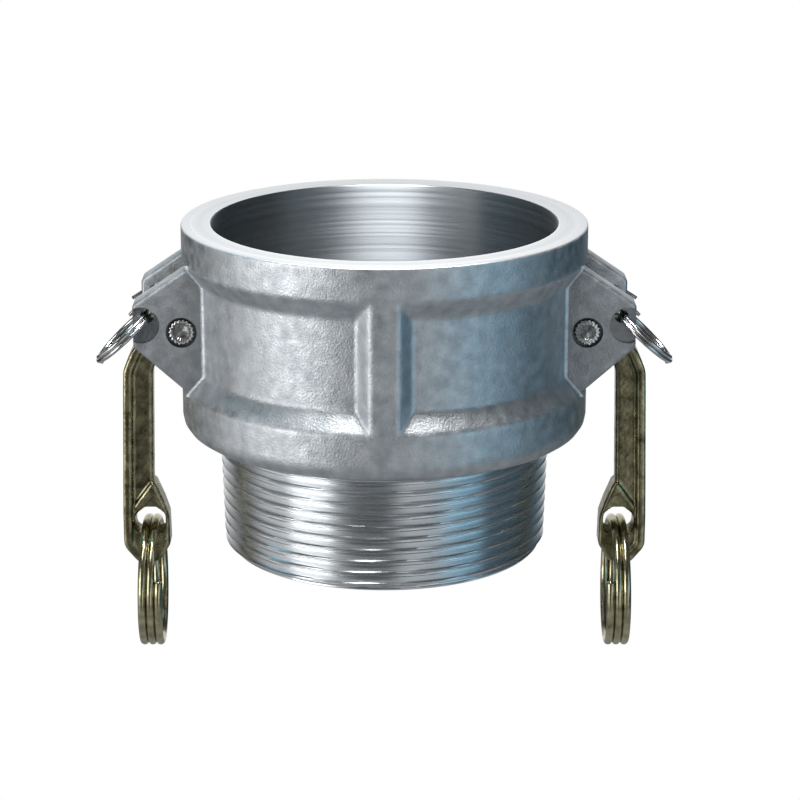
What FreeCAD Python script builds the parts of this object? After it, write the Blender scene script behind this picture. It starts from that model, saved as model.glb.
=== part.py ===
"""Cam and groove coupler, three inch: socket with two cam arms above, male pipe thread below.

Millimetres. +Z runs up the coupler's axis. The origin is the centre of the threaded end's face,
and +X points to the right-hand arm. The right-hand pieces are drawn in place, and the left-hand
ones are the same pieces mirrored in the plane X = 0.
"""
import FreeCAD, Part
import math
import os
import Sketcher

Vector = FreeCAD.Vector
Rotation = FreeCAD.Rotation
Placement = FreeCAD.Placement

doc = FreeCAD.newDocument("coupler")
sheet = doc.addObject("Spreadsheet::Sheet", "Sizes")

sizes = {
    # Casting, from the threaded end up
    "thread_length": 33.0,
    "thread_wall": 6.3,
    "thread_taper": 0.03125,
    "thread_chamfer": 1.2,
    "shoulder_round": 4.5,
    "lower_band_rise": 4.1,
    "lower_band_height": 13.0,
    "panel_wall": 3.0,
    "panel_height": 24.5,
    "panel_slope": 5.0,
    "upper_band_rise": 3.7,
    "upper_band_height": 9.0,
    "rib_width": 7.6,
    "rib_slope": 3.6,
    # Socket
    "socket_radius": 46.2,
    "mouth_chamfer": 0.55,
    "groove_depth": 1.4,
    "groove_height": 6.65,
    "groove_floor": 37.6,
    # Gasket
    "gasket_width": 9.2,
    "gasket_bore_clearance": 0.7,
    "gasket_side_clearance": 0.3,
    "gasket_height": 6.35,
    "gasket_bead": 1.6,
    # Ears
    "ear_outer_face": 17.8,
    "ear_thickness": 8.0,
    "ear_end_wall": 3.9,
    "ear_root_depth": 3.6,
    "ear_top_rise": 7.4,
    "ear_bottom_drop": 4.1,
    "ear_top_slope": 0.68,
    "ear_bottom_slope": 0.89,
    "ear_round": 1.2,
    # Cam arm pivot
    "pivot_out": 7.3,
    "pivot_level": 63.2,
    "pin_radius": 3.15,
    "pin_clearance": 0.05,
    "pin_recess": 0.25,
    "pin_bevel": 0.6,
    "pin_dimple_radius": 1.3,
    "pin_dimple_depth": 0.6,
    "window_above": 13.0,
    "window_below": 13.6,
    # Safety holes at the ears' outer ends, from the pivot, and their spotfaces, from the holes
    "lock_hole_out": 8.9,
    "lock_hole_up": 4.3,
    "lock_hole_radius": 1.85,
    "spotface_out": 1.7,
    "spotface_down": 2.3,
    "spotface_radius": 4.9,
    "spotface_depth": 1.0,
    # Cam arm
    "cam_side_clearance": 0.3,
    "boss_radius": 7.0,
    "cam_offset": 4.94,
    "cam_radius": 7.76,
    "web_half_width": 3.3,
    "flange_thickness": 2.7,
    "flange_foot_half_width": 5.0,
    "foot_half_width": 4.0,
    "shank_out": 9.1,
    "shank_width": 8.0,
    "foot_flare_out": 1.0,
    "foot_flare_in": 3.7,
    "shank_top": 48.5,
    "foot_top": 15.8,
    "foot_bottom": -6.0,
    "shoulder_start": 2.1,
    "shoulder_crown": 6.3,
    "neck_inset": 2.2,
    "neck_rise": 5.5,
    "neck_inner_inset": 2.6,
    "neck_inner_rise": 6.2,
    "shank_step": 0.6,
    "foot_side_rise": 5.0,
    "foot_side_drop": 8.5,
    "foot_neck_drop": 4.2,
    "foot_neck_inset": 1.6,
    "foot_corner_rise": 4.2,
    "foot_corner_cut": 5.4,
    "foot_inner_cut": 3.0,
    "flange_end_rise": 5.5,
    "flange_taper_drop": 10.0,
    # Eye of the arm, which holds the finger ring
    "eye_out": 1.7,
    "eye_level": 4.7,
    "eye_half_width": 4.2,
    "eye_drop": 2.4,
    "eye_height": 9.6,
    "eye_round": 2.0,
    # Finger ring
    "finger_wire": 2.25,
    "finger_ring_radius": 17.1,
    "finger_turns": 2.6,
    # Lock ring
    "lock_wire": 1.2,
    "lock_ring_radius": 9.2,
    "lock_turns": 1.9,
    "lock_ring_tilt": 43.0,
    "coil_squeeze": 0.05,
    # Safety cotter in the rear ear
    "cotter_wire_radius": 0.5,
    "cotter_leg_gap": 0.1,
    "cotter_eye_radius": 1.35,
    "cotter_head_gap": 0.3,
    "cotter_short_leg": 8.6,
    "cotter_long_leg": 11.8,
    "cotter_short_tilt": 33.0,
    "cotter_long_tilt": 46.0,
}

for row, (alias, number) in enumerate(sizes.items(), start=1):
    sheet.set("A" + str(row), alias)
    sheet.set("B" + str(row), str(number))
    sheet.setAlias("B" + str(row), alias)
doc.recompute()


def worked_out(alias, formula):
    """Adds a cell whose value follows from the driving sizes."""
    row = len(sizes) + len(derived) + 1
    derived.append(alias)
    sheet.set("A" + str(row), alias)
    sheet.set("B" + str(row), "=" + formula)
    sheet.setAlias("B" + str(row), alias)
    doc.recompute()


derived = []
worked_out("groove_radius", "socket_radius + groove_depth")
worked_out("gasket_radius", "groove_radius - gasket_side_clearance")
worked_out("gasket_bore_radius", "gasket_radius - gasket_width")
worked_out("waterway_radius", "gasket_bore_radius - gasket_bore_clearance")
worked_out("thread_end_radius", "waterway_radius + thread_wall")
worked_out("panel_radius", "groove_radius + panel_wall")
worked_out("lower_band_radius", "panel_radius + lower_band_rise")
worked_out("upper_band_radius", "panel_radius + upper_band_rise")
worked_out("ear_root", "panel_radius - ear_root_depth")
worked_out("pivot_reach", "socket_radius + pivot_out")
worked_out("thread_top_radius", "thread_end_radius + thread_length * thread_taper")
worked_out("panel_bottom", "thread_length + lower_band_height")
worked_out("panel_floor_bottom", "panel_bottom + panel_slope")
worked_out("panel_floor_top", "panel_floor_bottom + panel_height")
worked_out("panel_top", "panel_floor_top + panel_slope")
worked_out("mouth_level", "panel_top + upper_band_height")
worked_out("groove_top", "groove_floor + groove_height")
worked_out("shoulder_fillet", "min(shoulder_round; 0.9 * (lower_band_radius - thread_top_radius))")
worked_out("lock_hole_reach", "pivot_reach + lock_hole_out")
worked_out("lock_hole_level", "pivot_level + lock_hole_up")
worked_out("spotface_reach", "lock_hole_reach + spotface_out")
worked_out("spotface_level", "lock_hole_level - spotface_down")
worked_out("ear_reach", "lock_hole_reach + ear_end_wall")
worked_out("shank_inner", "pivot_reach + shank_out")
worked_out("shank_outer", "shank_inner + shank_width")
worked_out("foot_outer", "shank_outer + foot_flare_out")
worked_out("foot_inner", "shank_inner - foot_flare_in")
worked_out("eye_reach", "shank_inner + eye_out")
worked_out("ear_inner_face", "ear_outer_face - ear_thickness")
worked_out("ear_middle", "ear_outer_face - ear_thickness / 2")
worked_out("ear_outer_top", "pivot_level + ear_top_rise")
worked_out("ear_outer_bottom", "pivot_level - ear_bottom_drop")
worked_out("ear_root_top", "ear_outer_top + (ear_reach - ear_root) * ear_top_slope")
worked_out("ear_root_bottom", "ear_outer_bottom - (ear_reach - ear_root) * ear_bottom_slope")
worked_out("cam_half_width", "ear_inner_face - cam_side_clearance")
worked_out("lock_pitch", "lock_wire - coil_squeeze")
worked_out("finger_pitch", "finger_wire - coil_squeeze")
worked_out("lock_run", "cos(lock_ring_tilt * 1deg)")
worked_out("lock_fall", "sin(lock_ring_tilt * 1deg)")


def size(alias):
    """The present value of a cell."""
    return float(sheet.get(alias))


def cells(formula):
    """Writes the sheet's name before every alias of a formula."""
    words = formula.replace("(", " ( ").replace(")", " ) ").split()
    return " ".join("Sizes." + word if word in known else word for word in words)


known = set(sizes) | set(derived)


def value_of(formula):
    """The present value of a formula."""
    return float(sheet.evalExpression(cells(formula)))


def bind(thing, **formulas):
    """Binds properties to formulas; x, y and z are the placement's base."""
    for key, formula in formulas.items():
        target = {"x": "Placement.Base.x", "y": "Placement.Base.y", "z": "Placement.Base.z"}.get(key, key)
        thing.setExpression(target, cells(formula))
    return thing


upright = Rotation()
along_y = Rotation(Vector(1, 0, 0), -90)


def cylinder(name, turn=upright, **formulas):
    thing = doc.addObject("Part::Cylinder", name)
    thing.Placement = Placement(Vector(), turn)
    return bind(thing, **formulas)


def box(name, **formulas):
    return bind(doc.addObject("Part::Box", name), **formulas)


def cut(name, base, tool):
    thing = doc.addObject("Part::Cut", name)
    thing.Base = base
    thing.Tool = tool
    return thing


def fuse(name, *pieces):
    thing = doc.addObject("Part::MultiFuse", name)
    thing.Shapes = list(pieces)
    thing.Refine = True
    return thing


def common(name, *pieces):
    thing = doc.addObject("Part::MultiCommon", name)
    thing.Shapes = list(pieces)
    return thing


def mirrored(name, source):
    thing = doc.addObject("Part::Mirroring", name)
    thing.Source = source
    thing.Base = Vector(0, 0, 0)
    thing.Normal = Vector(1, 0, 0)
    return thing


def rounded(name, base, radius, wanted):
    """Fillets the edges that the test picks, by their ends, with the sheet's radius."""
    base.recompute(True)
    thing = doc.addObject("Part::Fillet", name)
    thing.Base = base
    reach = size(radius)
    chosen = []
    for number, edge in enumerate(base.Shape.Edges, start=1):
        if wanted(edge):
            chosen.append((number, reach, reach))
    assert chosen, name + " rounds no edge"
    thing.Edges = chosen
    return thing


frames = {
    "front": Rotation(Vector(1, 0, 0), 90),
    "side": Rotation(Vector(1, 1, 1), 120),
    "top": Rotation(),
}


def outline(name, plane, corners):
    """A closed sketch of straight lines through corners, each a pair of formulas.

    On the front plane the pair is (X, Z), on the side plane (Y, Z) and on the top plane (X, Y).
    """
    sketch = doc.addObject("Sketcher::SketchObject", name)
    sketch.Placement = Placement(Vector(), frames[plane])
    spots = [[value_of(formula) for formula in pair] for pair in corners]
    total = len(spots)
    for index in range(total):
        start = Vector(spots[index][0], spots[index][1], 0)
        finish = Vector(spots[(index + 1) % total][0], spots[(index + 1) % total][1], 0)
        sketch.addGeometry(Part.LineSegment(start, finish), False)
    for index in range(total):
        sketch.addConstraint(Sketcher.Constraint("Coincident", index, 2, (index + 1) % total, 1))
    for index in range(total):
        for kind, axis, number in (("DistanceX", -2, 0), ("DistanceY", -1, 1)):
            place = spots[index][number]
            formula = corners[index][number]
            if abs(place) < 1e-9:
                sketch.addConstraint(Sketcher.Constraint("PointOnObject", index, 1, axis))
                continue
            if place > 0:
                link = Sketcher.Constraint(kind, -1, 1, index, 1, place)
            else:
                link = Sketcher.Constraint(kind, index, 1, -1, 1, -place)
                formula = "-1 * ( " + formula + " )"
            where = sketch.addConstraint(link)
            sketch.renameConstraint(where, kind[-1].lower() + "_of_corner_" + str(index))
            sketch.setExpression("Constraints[" + str(where) + "]", cells(formula))
    return sketch


def extruded(name, sketch, direction, length, back="0"):
    """Pulls a sketch along a direction by one length and the other way by another."""
    thing = doc.addObject("Part::Extrusion", name)
    thing.Base = sketch
    thing.DirMode = "Custom"
    thing.Dir = direction
    thing.Solid = True
    return bind(thing, LengthFwd=length, LengthRev=back)


# The casting: one revolved profile, with panel recesses, ribs, ears and windows

profile = outline("casting_profile", "front", (
    ("waterway_radius", "0"),
    ("thread_end_radius - thread_chamfer", "0"),
    ("thread_end_radius + thread_chamfer * thread_taper", "thread_chamfer"),
    ("thread_top_radius", "thread_length"),
    ("lower_band_radius", "thread_length"),
    ("lower_band_radius", "panel_bottom"),
    ("panel_radius", "panel_floor_bottom"),
    ("panel_radius", "panel_floor_top"),
    ("upper_band_radius", "panel_top"),
    ("upper_band_radius", "mouth_level"),
    ("socket_radius + mouth_chamfer", "mouth_level"),
    ("socket_radius", "mouth_level - mouth_chamfer"),
    ("socket_radius", "groove_top"),
    ("groove_radius", "groove_top"),
    ("groove_radius", "groove_floor"),
    ("waterway_radius", "groove_floor"),
))
turned = doc.addObject("Part::Revolution", "turned_casting")
turned.Source = profile
turned.Axis = Vector(0, 0, 1)
turned.Angle = 360
turned.Solid = True


def shoulder_edge(edge):
    """The lower band's bottom circle, where the casting turns in to the thread."""
    if not isinstance(edge.Curve, Part.Circle):
        return False
    same_radius = abs(edge.Curve.Radius - size("lower_band_radius")) < 1e-6
    return same_radius and abs(edge.Curve.Center.z - size("thread_length")) < 1e-6


softened = rounded("softened_casting", turned, "shoulder_fillet", shoulder_edge)

rib_outline = outline("rib_section", "top", (
    ("-1 * rib_width / 2", "-1 * upper_band_radius"),
    ("rib_width / 2", "-1 * upper_band_radius"),
    ("rib_width / 2 + rib_slope", "-1 * panel_radius"),
    ("rib_width / 2 + rib_slope", "-1 * groove_radius"),
    ("-1 * rib_width / 2 - rib_slope", "-1 * groove_radius"),
    ("-1 * rib_width / 2 - rib_slope", "-1 * panel_radius"),
))
rib_bar = extruded("rib_bar", rib_outline, Vector(0, 0, 1), "panel_top")
rib_window = box(
    "rib_room", Length="2 * upper_band_radius", Width="2 * upper_band_radius",
    Height="panel_top - panel_bottom", x="-1 * upper_band_radius", y="-2 * upper_band_radius",
    z="panel_bottom")
rib_round = cylinder("rib_round", Radius="upper_band_radius", Height="mouth_level")
front_rib = common("front_rib", rib_bar, rib_window, rib_round)
rear_rib = doc.addObject("Part::Mirroring", "rear_rib")
rear_rib.Source = front_rib
rear_rib.Normal = Vector(0, 1, 0)

ear_outline = outline("ear_outline", "front", (
    ("ear_root", "ear_root_bottom"),
    ("ear_reach", "ear_outer_bottom"),
    ("ear_reach", "ear_outer_top"),
    ("ear_root", "ear_root_top"),
))


def outer_corner(edge):
    """An edge across an ear at its outer end."""
    ends = [vertex.Point for vertex in edge.Vertexes]
    if len(ends) != 2 or abs(ends[0].y - ends[1].y) < 1e-6:
        return False
    return all(abs(end.x - size("ear_reach")) < 1e-6 for end in ends)


ears = []
for place, direction in (("front", Vector(0, -1, 0)), ("rear", Vector(0, 1, 0))):
    plate = extruded(place + "_ear_plate", ear_outline, direction, "ear_outer_face", "-1 * ear_inner_face")
    right_ear = rounded(place + "_ear_right", plate, "ear_round", outer_corner)
    ears.append(right_ear)
    ears.append(mirrored(place + "_ear_left", right_ear))

cuts = []
for side in (1, -1):
    word = "right" if side == 1 else "left"
    sign = str(side)
    cuts.append(cylinder(
        "pin_hole_" + word, along_y, Radius="pin_radius + pin_clearance", Height="4 * ear_outer_face",
        x=sign + " * pivot_reach", y="-2 * ear_outer_face", z="pivot_level"))
    cuts.append(cylinder(
        "lock_hole_" + word, along_y, Radius="lock_hole_radius", Height="4 * ear_outer_face",
        x=sign + " * lock_hole_reach", y="-2 * ear_outer_face", z="lock_hole_level"))
    for face, start in (("front", "-1 * ear_outer_face"), ("rear", "ear_outer_face - spotface_depth")):
        cuts.append(cylinder(
            face + "_spotface_" + word, along_y, Radius="spotface_radius", Height="spotface_depth",
            x=sign + " * spotface_reach", y=start, z="spotface_level"))
    start = "ear_root - ear_thickness" if side == 1 else "-1 * ear_reach"
    cuts.append(box(
        "window_" + word, Length="ear_reach - ear_root + ear_thickness", Width="2 * ear_inner_face",
        Height="window_above + window_below", x=start, y="-1 * ear_inner_face",
        z="pivot_level - window_below"))
cutters = fuse("casting_cutters", *cuts)
socket_clear = cylinder(
    "socket_clear", Radius="socket_radius", Height="mouth_level - groove_top", z="groove_top")
solid_casting = fuse("solid_casting", softened, front_rib, rear_rib, *ears)
opened = cut("opened_casting", solid_casting, cutters)
coupler_body = cut("coupler_body", opened, socket_clear)

# The gasket: a flat ring with a rounded sealing bead round its bore

gasket_profile = outline("gasket_profile", "front", (
    ("gasket_bore_radius", "groove_floor"),
    ("gasket_radius", "groove_floor"),
    ("gasket_radius", "groove_floor + gasket_height"),
    ("gasket_bore_radius + gasket_bead", "groove_floor + gasket_height"),
    ("gasket_bore_radius", "groove_floor + gasket_height - gasket_bead"),
))
gasket = doc.addObject("Part::Revolution", "gasket")
gasket.Source = gasket_profile
gasket.Axis = Vector(0, 0, 1)
gasket.Angle = 360
gasket.Solid = True

# The pivot pin: a plain pin with bevelled ends, a little below the ears' faces

pin_half = "ear_outer_face - pin_recess"
pin_profile = outline("pin_profile", "top", (
    ("0", "-1 * (" + pin_half + ") + pin_dimple_depth"),
    ("pin_dimple_radius", "-1 * (" + pin_half + ")"),
    ("pin_radius - pin_bevel", "-1 * (" + pin_half + ")"),
    ("pin_radius", "-1 * (" + pin_half + ") + pin_bevel"),
    ("pin_radius", pin_half + " - pin_bevel"),
    ("pin_radius - pin_bevel", pin_half),
    ("pin_dimple_radius", pin_half),
    ("0", pin_half + " - pin_dimple_depth"),
))
turned_pin = doc.addObject("Part::Revolution", "turned_pin")
turned_pin.Source = pin_profile
turned_pin.Axis = Vector(0, 1, 0)
turned_pin.Angle = 360
turned_pin.Solid = True
pivot_pin_right = bind(
    doc.addObject("Part::Compound", "pivot_pin_right"), x="pivot_reach", z="pivot_level")
pivot_pin_right.Links = [turned_pin]
pivot_pin_left = mirrored("pivot_pin_left", pivot_pin_right)

# The cam arm: hub with its cam, a neck that clears the ear's ring, a shank and a foot with an eye

hub_place = {"y": "-1 * cam_half_width", "z": "pivot_level", "Height": "2 * cam_half_width"}
boss = cylinder("arm_boss", along_y, Radius="boss_radius", x="pivot_reach", **hub_place)
cam = cylinder("arm_cam", along_y, Radius="cam_radius", x="pivot_reach - cam_offset", **hub_place)
shoulder = (
    ("pivot_reach + shoulder_start", "pivot_level + shoulder_crown"),
    ("pivot_reach + boss_radius", "pivot_level + 0.5 * boss_radius"),
    ("pivot_reach + 1.5 * boss_radius", "pivot_level - 0.1 * boss_radius"),
    ("pivot_reach + 1.63 * boss_radius", "pivot_level - 0.6 * boss_radius"),
    ("shank_outer - neck_inset", "shank_top + neck_rise"),
)
web_outline = outline("web_outline", "front", (
    ("pivot_reach", "pivot_level - 0.5 * boss_radius"),
    ("pivot_reach", "pivot_level + 0.5 * boss_radius"),
) + shoulder + (
    ("shank_outer - flange_thickness / 2", "shank_top"),
    ("foot_outer - flange_thickness / 2", "foot_top"),
    ("shank_inner + shank_step", "foot_top"),
    ("shank_inner", "shank_top"),
    ("shank_inner - neck_inner_inset", "shank_top + neck_inner_rise"),
))
web = extruded("arm_web", web_outline, Vector(0, 1, 0), "web_half_width", "web_half_width")
flange_outline = outline("flange_outline", "front", shoulder[2:] + (
    ("shank_outer", "shank_top"),
    ("foot_outer", "foot_top / 2"),
    ("foot_outer", "foot_bottom + flange_end_rise"),
    ("foot_outer - flange_thickness", "foot_bottom + foot_inner_cut"),
    ("foot_outer - flange_thickness", "foot_top / 2"),
    ("shank_outer - flange_thickness", "shank_top"),
    ("shank_outer - neck_inset - flange_thickness", "shank_top + neck_rise - shank_step"),
    ("pivot_reach + 1.2 * boss_radius", "pivot_level - 0.6 * boss_radius"),
))
flange_bar = extruded(
    "flange_bar", flange_outline, Vector(0, 1, 0), "flange_foot_half_width", "flange_foot_half_width")
flange_taper = outline("flange_taper", "side", (
    ("-1 * flange_foot_half_width", "foot_bottom"),
    ("flange_foot_half_width", "foot_bottom"),
    ("flange_foot_half_width", "foot_top / 2"),
    ("web_half_width", "shank_top - flange_taper_drop"),
    ("web_half_width", "pivot_level + boss_radius"),
    ("-1 * web_half_width", "pivot_level + boss_radius"),
    ("-1 * web_half_width", "shank_top - flange_taper_drop"),
    ("-1 * flange_foot_half_width", "foot_top / 2"),
))
flange_room = extruded("flange_room", flange_taper, Vector(1, 0, 0), "foot_outer + ear_thickness")
flange = common("arm_flange", flange_bar, flange_room)
foot_outline = outline("foot_outline", "front", (
    ("foot_inner", "foot_bottom + foot_side_rise"),
    ("foot_inner", "foot_top - foot_side_drop"),
    ("foot_inner + foot_neck_inset", "foot_top - foot_neck_drop"),
    ("shank_inner + shank_step", "foot_top + shank_step"),
    ("foot_outer - flange_thickness / 2", "foot_top + shank_step"),
    ("foot_outer - flange_thickness / 2", "foot_bottom + foot_corner_rise"),
    ("foot_outer - foot_corner_cut", "foot_bottom"),
    ("foot_inner + foot_inner_cut", "foot_bottom"),
))
foot = extruded("arm_foot", foot_outline, Vector(0, 1, 0), "foot_half_width", "foot_half_width")
eye_outline = outline("eye_outline", "front", (
    ("eye_reach - eye_half_width", "eye_level - eye_drop"),
    ("eye_reach + eye_half_width", "eye_level - eye_drop"),
    ("eye_reach + eye_half_width", "eye_level + eye_half_width"),
    ("eye_reach + 0.2 * eye_half_width", "eye_level + eye_height"),
    ("eye_reach - 0.2 * eye_half_width", "eye_level + eye_height"),
    ("eye_reach - eye_half_width", "eye_level + eye_half_width"),
))
eye_bar = extruded("eye_bar", eye_outline, Vector(0, 1, 0), "2 * foot_half_width", "2 * foot_half_width")


def eye_corner(edge):
    """A corner of the eye that runs along Y, below its narrow top."""
    ends = [vertex.Point for vertex in edge.Vertexes]
    if abs(ends[0].y - ends[1].y) < 1.0:
        return False
    return ends[0].z < size("eye_level") + size("eye_half_width") + 1.0


eye = rounded("arm_eye", eye_bar, "eye_round", eye_corner)
arm_bore = cylinder(
    "arm_bore", along_y, Radius="pin_radius + pin_clearance", Height="4 * ear_outer_face",
    x="pivot_reach", y="-2 * ear_outer_face", z="pivot_level")
arm_solid = fuse("arm_solid", boss, cam, web, flange, foot)
arm_drilled = cut("arm_drilled", arm_solid, arm_bore)
cam_arm_right = cut("cam_arm_right", arm_drilled, eye)
cam_arm_left = mirrored("cam_arm_left", cam_arm_right)


def wire_section(name, radius, wire, pitch, count):
    """A sketch of the section through turns side by side: arcs that meet where the turns touch."""
    sketch = doc.addObject("Sketcher::SketchObject", name)
    sketch.Placement = Placement(Vector(), frames["front"])
    half_wire = value_of(wire) / 2
    meeting = math.asin(value_of(pitch) / 2 / half_wire)
    if count == 1:
        arcs = [(0, 0, 2 * math.pi)]
    else:
        inner = range(1, count - 1)
        arcs = [(0, math.pi - meeting, 2 * math.pi + meeting)]
        arcs += [(turn, -meeting, meeting) for turn in inner]
        arcs += [(count - 1, -meeting, math.pi + meeting)]
        arcs += [(turn, math.pi - meeting, math.pi + meeting) for turn in reversed(inner)]
    for index, (turn, start, finish) in enumerate(arcs):
        middle = Vector(value_of(radius), turn * value_of(pitch), 0)
        circle = Part.Circle(middle, Vector(0, 0, 1), half_wire)
        sketch.addGeometry(circle if count == 1 else Part.ArcOfCircle(circle, start, finish), False)
        limits = [("Radius", Sketcher.Constraint("Radius", index, half_wire), wire + " / 2"),
                  ("DistanceX", Sketcher.Constraint("DistanceX", -1, 1, index, 3, middle.x), radius)]
        if turn == 0:
            sketch.addConstraint(Sketcher.Constraint("PointOnObject", index, 3, -1))
        else:
            limits.append(("DistanceY", Sketcher.Constraint("DistanceY", -1, 1, index, 3, middle.y),
                           str(turn) + " * " + pitch))
        for kind, link, formula in limits:
            where = sketch.addConstraint(link)
            sketch.renameConstraint(where, kind.lower() + "_of_arc_" + str(index))
            sketch.setExpression("Constraints[" + str(where) + "]", cells(formula))
    if count > 1:
        for index in range(len(arcs)):
            sketch.addConstraint(Sketcher.Constraint("Coincident", index, 2, (index + 1) % len(arcs), 1))
    return sketch


def coil(name, radius, wire, pitch, turns):
    """A split ring about its own axis, Z: turns of round wire that lie pressed together.

    It is swept in two sectors. The first carries one turn more than the second, because the last
    turn isn't a whole one.
    """
    whole = int(size(turns))
    part_turn = 360 * (size(turns) - whole)
    sectors = []
    for word, count, start, sweep in (
        ("long", whole + 1, 0, part_turn), ("short", whole, part_turn, 360 - part_turn),
    ):
        sector = doc.addObject("Part::Revolution", name + "_" + word + "_sector")
        sector.Source = wire_section(name + "_" + word + "_section", radius, wire, pitch, count)
        sector.Axis = Vector(0, 0, 1)
        sector.Angle = sweep
        sector.Solid = True
        sector.Placement = Placement(Vector(), Rotation(Vector(0, 0, 1), start))
        sectors.append(sector)
    return fuse(name, *sectors)


def placed(name, source, turn, **formulas):
    """One copy of a piece, turned and then set in its place."""
    thing = doc.addObject("Part::Compound", name)
    thing.Links = [source]
    thing.Placement = Placement(Vector(), turn)
    return bind(thing, **formulas)


# The finger ring hangs from the arm's eye, edge on to the front, with two turns in the eye

finger_coil = coil("finger_coil", "finger_ring_radius", "finger_wire", "finger_pitch", "finger_turns")
finger_gap = 360 * (1 - size("finger_turns") % 1)
finger_turn = Rotation(Vector(0, 1, 0), 90).multiply(Rotation(Vector(0, 0, 1), 180 + finger_gap / 2))
finger_ring_right = placed(
    "finger_ring_right", finger_coil, finger_turn,
    x="eye_reach - finger_pitch / 2", z="eye_level - finger_ring_radius")
finger_ring_left = mirrored("finger_ring_left", finger_ring_right)

# The lock ring passes through the front ear's outer hole and round the ear's end

lock_coil = coil("lock_coil", "lock_ring_radius", "lock_wire", "lock_pitch", "lock_turns")
lock_turn = Rotation(Vector(0, 1, 0), size("lock_ring_tilt"))
lock_ring_right = placed(
    "lock_ring_right", lock_coil, lock_turn,
    x="lock_hole_reach + lock_ring_radius * lock_run - lock_pitch / 2 * lock_fall",
    y="-1 * ear_middle",
    z="lock_hole_level - lock_ring_radius * lock_fall - lock_pitch / 2 * lock_run")
lock_ring_left = mirrored("lock_ring_left", lock_ring_right)

# The safety cotter in the rear ear: an eye in the gap, two legs through the hole, spread behind it

leg_radius = "cotter_wire_radius"
legs = []
cotter_bend = "ear_outer_face + 1.2 * cotter_wire_radius"
for leg, side, length, tilt in (
    ("short", 1, "cotter_short_leg", "cotter_short_tilt"),
    ("long", -1, "cotter_long_leg", "cotter_long_tilt"),
):
    offset = "lock_hole_level + " + str(side) + " * ( cotter_wire_radius + cotter_leg_gap / 2 )"
    place = {"x": "lock_hole_reach", "z": offset}
    legs.append(cylinder(
        leg + "_leg", along_y, Radius=leg_radius, y="ear_inner_face - cotter_head_gap",
        Height="ear_thickness + cotter_head_gap + 1.2 * cotter_wire_radius", **place))
    elbow = doc.addObject("Part::Sphere", leg + "_elbow")
    legs.append(bind(elbow, Radius=leg_radius, y=cotter_bend, **place))
    bent = Rotation(Vector(0, 1, 0), 90 + size(tilt))
    legs.append(cylinder(leg + "_end", bent, Radius=leg_radius, Height=length, y=cotter_bend, **place))
cotter_eye = doc.addObject("Part::Torus", "cotter_eye")
cotter_eye.Placement = Placement(Vector(), Rotation(Vector(0, 1, 0), 90))
bind(cotter_eye, Radius1="cotter_eye_radius", Radius2=leg_radius, x="lock_hole_reach",
     y="ear_inner_face - cotter_head_gap - cotter_eye_radius", z="lock_hole_level")
safety_cotter_right = fuse("safety_cotter_right", cotter_eye, *legs)
safety_cotter_left = mirrored("safety_cotter_left", safety_cotter_right)

doc.recompute()
parts = [
    coupler_body, gasket, cam_arm_right, cam_arm_left, pivot_pin_right, pivot_pin_left,
    finger_ring_right, finger_ring_left, lock_ring_right, lock_ring_left,
    safety_cotter_right, safety_cotter_left,
]


def check(thing):
    """Stops the build if an object failed."""
    bad = [state for state in thing.State if state in ("Invalid", "Error")]
    assert not bad, thing.Label + " failed: " + ", ".join(thing.State)


os.makedirs("parts", exist_ok=True)
for thing in doc.Objects:
    check(thing)
for part in parts:
    assert not part.Shape.isNull() and part.Shape.isValid(), part.Label + " isn't a valid shape"
    part.Shape.exportStep("parts/" + part.Label + ".step")
    print(part.Label, "solids", len(part.Shape.Solids), "volume", round(part.Shape.Volume, 1))
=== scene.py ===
# %% [markdown]
# A cam and groove coupler is one aluminium casting with a machined socket, ears for two cam arms and
# a pipe thread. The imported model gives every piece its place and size. This lesson dresses it: each
# visible piece becomes a surface worked out with numpy, and each finish a small node material.

# %% Load the frame
import bpy
import math
import numpy as np
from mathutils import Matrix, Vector


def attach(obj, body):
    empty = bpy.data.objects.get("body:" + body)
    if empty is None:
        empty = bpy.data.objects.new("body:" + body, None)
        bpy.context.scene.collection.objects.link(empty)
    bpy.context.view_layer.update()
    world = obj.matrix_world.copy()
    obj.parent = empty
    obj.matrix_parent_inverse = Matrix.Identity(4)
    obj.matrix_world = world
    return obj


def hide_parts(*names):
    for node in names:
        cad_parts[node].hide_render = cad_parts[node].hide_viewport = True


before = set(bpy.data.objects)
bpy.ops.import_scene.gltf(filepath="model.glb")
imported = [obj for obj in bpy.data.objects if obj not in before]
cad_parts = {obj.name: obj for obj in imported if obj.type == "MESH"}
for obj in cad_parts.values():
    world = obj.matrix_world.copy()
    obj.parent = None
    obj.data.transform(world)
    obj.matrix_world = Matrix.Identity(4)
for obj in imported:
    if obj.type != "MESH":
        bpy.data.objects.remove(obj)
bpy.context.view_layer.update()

MM = 0.001

# %% [markdown]
# The camera comes first. The rim, the bore and the end of the thread are circles in the photograph,
# and the three ellipses that they make there fix how far away the camera stands, how steeply it
# looks down and how long its lens is. The object sits a little left of the picture's middle, so the
# camera keeps a small shift instead of turning.

# %% Camera
PICTURE = 800
SENSOR = 36.0
FAR_CLIP = 20.0  # metres
CAMERA_DISTANCE = 714.3
CAMERA_PITCH = math.radians(16.63)
FOCAL_PIXELS = 2623.0
AIM_LEVEL = 39.43
AXIS_PIXEL = 384.4

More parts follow.
